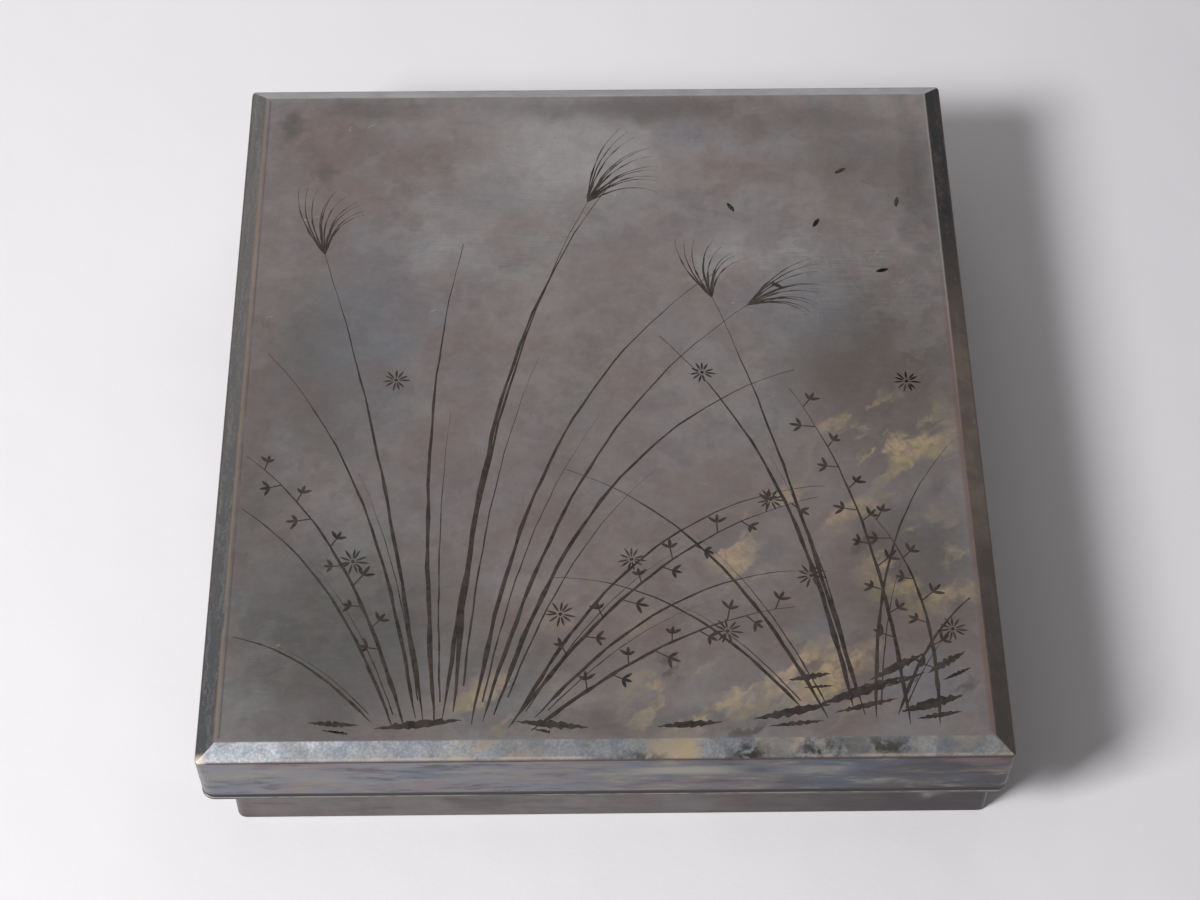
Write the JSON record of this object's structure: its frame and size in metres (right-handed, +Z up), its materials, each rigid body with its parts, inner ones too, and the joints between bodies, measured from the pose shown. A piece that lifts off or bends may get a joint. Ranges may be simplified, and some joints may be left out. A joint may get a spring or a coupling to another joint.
{
  "type": "writing box",
  "caption": "Flat rectangular writing box with a bevelled overhanging lid on a low base that holds an inkstone, a water dropper and two trays of writing tools.",
  "frame": {"origin": "on the ground, below the middle of the lid", "axes": "+X to the right and +Y to the back as the box is seen from its front, +Z up; the writing tools lie along Y"},
  "size_m": [0.2204, 0.2464, 0.042],
  "materials": {
    "lid_lacquer": "wood under tarnished silver-ground lacquer, satin metallic, dark warm grey with brown, blue-grey and ochre clouds",
    "base_lacquer": "wood under tarnished silver-ground lacquer, satin metallic, brown-grey",
    "mouth_metal": "thin tin-like metal band, dulled, polished by handling",
    "inner_lacquer": "wood under dark brown lacquer with sprinkled gold flakes",
    "slate": "honed dark slate with faint ink stain",
    "dropper_metal": "copper with brown patina, polished at the edges",
    "black_lacquer": "turned wood under black lacquer",
    "collar_metal": "thin metal collar, lightly tarnished",
    "brush_hair": "animal hair drawn to a point, darkened by ink at the tip",
    "steel": "ground steel",
    "ink": "pressed soot ink, smooth and dull"
  },
  "bodies": {
    "base": {"base_floor_board": "base_lacquer", "base_front_wall": "base_lacquer", "base_right_wall": "base_lacquer", "base_back_wall": "base_lacquer", "base_left_wall": "base_lacquer", "base_mouth_rim": "mouth_metal"},
    "lid": {"lid_top_board": "lid_lacquer", "lid_front_wall": "lid_lacquer", "lid_right_wall": "lid_lacquer", "lid_back_wall": "lid_lacquer", "lid_left_wall": "lid_lacquer", "lid_mouth_rim": "mouth_metal"},
    "board": {"inner_board": "inner_lacquer"},
    "stone": {"inkstone": "slate"},
    "dropper": {"dropper_body": "dropper_metal", "dropper_top": "dropper_metal"},
    "left_tray": {"left_tray_floor": "inner_lacquer", "left_tray_front_end": "inner_lacquer", "left_tray_right_side": "inner_lacquer", "left_tray_back_end": "inner_lacquer", "left_tray_left_side": "inner_lacquer", "left_tray_rest_bars": "inner_lacquer"},
    "right_tray": {"right_tray_floor": "inner_lacquer", "right_tray_front_end": "inner_lacquer", "right_tray_right_side": "inner_lacquer", "right_tray_back_end": "inner_lacquer", "right_tray_left_side": "inner_lacquer", "right_tray_rest_bars": "inner_lacquer"},
    "large_brush": {"large_brush_handle": "black_lacquer", "large_brush_collar": "collar_metal", "large_brush_hair": "brush_hair"},
    "small_brush": {"small_brush_handle": "black_lacquer", "small_brush_collar": "collar_metal", "small_brush_hair": "brush_hair"},
    "knife": {"knife_handle": "black_lacquer", "knife_collar": "collar_metal", "knife_blade": "steel"},
    "awl": {"awl_handle": "black_lacquer", "awl_collar": "collar_metal", "awl_spike": "steel"},
    "ink": {"ink_stick": "ink"}
  },
  "joints": [
    {"name": "lid_lift", "type": "slide", "parent": "base", "child": "lid", "axis": [0, 0, 1], "range_m": [0, 0.18]},
    {"name": "board_lift", "type": "slide", "parent": "base", "child": "board", "axis": [0, 0, 1], "range_m": [0, 0.036]},
    {"name": "stone_lift", "type": "slide", "parent": "board", "child": "stone", "axis": [0, 0, 1], "range_m": [0, 0.027]},
    {"name": "dropper_lift", "type": "slide", "parent": "board", "child": "dropper", "axis": [0, 0, 1], "range_m": [0, 0.027]},
    {"name": "left_tray_lift", "type": "slide", "parent": "board", "child": "left_tray", "axis": [0, 0, 1], "range_m": [0, 0.036]},
    {"name": "right_tray_lift", "type": "slide", "parent": "board", "child": "right_tray", "axis": [0, 0, 1], "range_m": [0, 0.036]},
    {"name": "large_brush_lift", "type": "slide", "parent": "left_tray", "child": "large_brush", "axis": [0, 0, 1], "range_m": [0, 0.0216]},
    {"name": "small_brush_lift", "type": "slide", "parent": "left_tray", "child": "small_brush", "axis": [0, 0, 1], "range_m": [0, 0.0216]},
    {"name": "knife_lift", "type": "slide", "parent": "right_tray", "child": "knife", "axis": [0, 0, 1], "range_m": [0, 0.0216]},
    {"name": "awl_lift", "type": "slide", "parent": "right_tray", "child": "awl", "axis": [0, 0, 1], "range_m": [0, 0.0216]},
    {"name": "ink_lift", "type": "slide", "parent": "right_tray", "child": "ink", "axis": [0, 0, 1], "range_m": [0, 0.0216]}
  ],
  "couplings": [
    {"joint": "board_lift", "follows": "lid_lift", "ratio": 0.2},
    {"joint": "stone_lift", "follows": "lid_lift", "ratio": 0.15},
    {"joint": "dropper_lift", "follows": "lid_lift", "ratio": 0.15},
    {"joint": "left_tray_lift", "follows": "lid_lift", "ratio": 0.2},
    {"joint": "right_tray_lift", "follows": "lid_lift", "ratio": 0.2},
    {"joint": "large_brush_lift", "follows": "lid_lift", "ratio": 0.12},
    {"joint": "small_brush_lift", "follows": "lid_lift", "ratio": 0.12},
    {"joint": "knife_lift", "follows": "lid_lift", "ratio": 0.12},
    {"joint": "awl_lift", "follows": "lid_lift", "ratio": 0.12},
    {"joint": "ink_lift", "follows": "lid_lift", "ratio": 0.12}
  ]
}
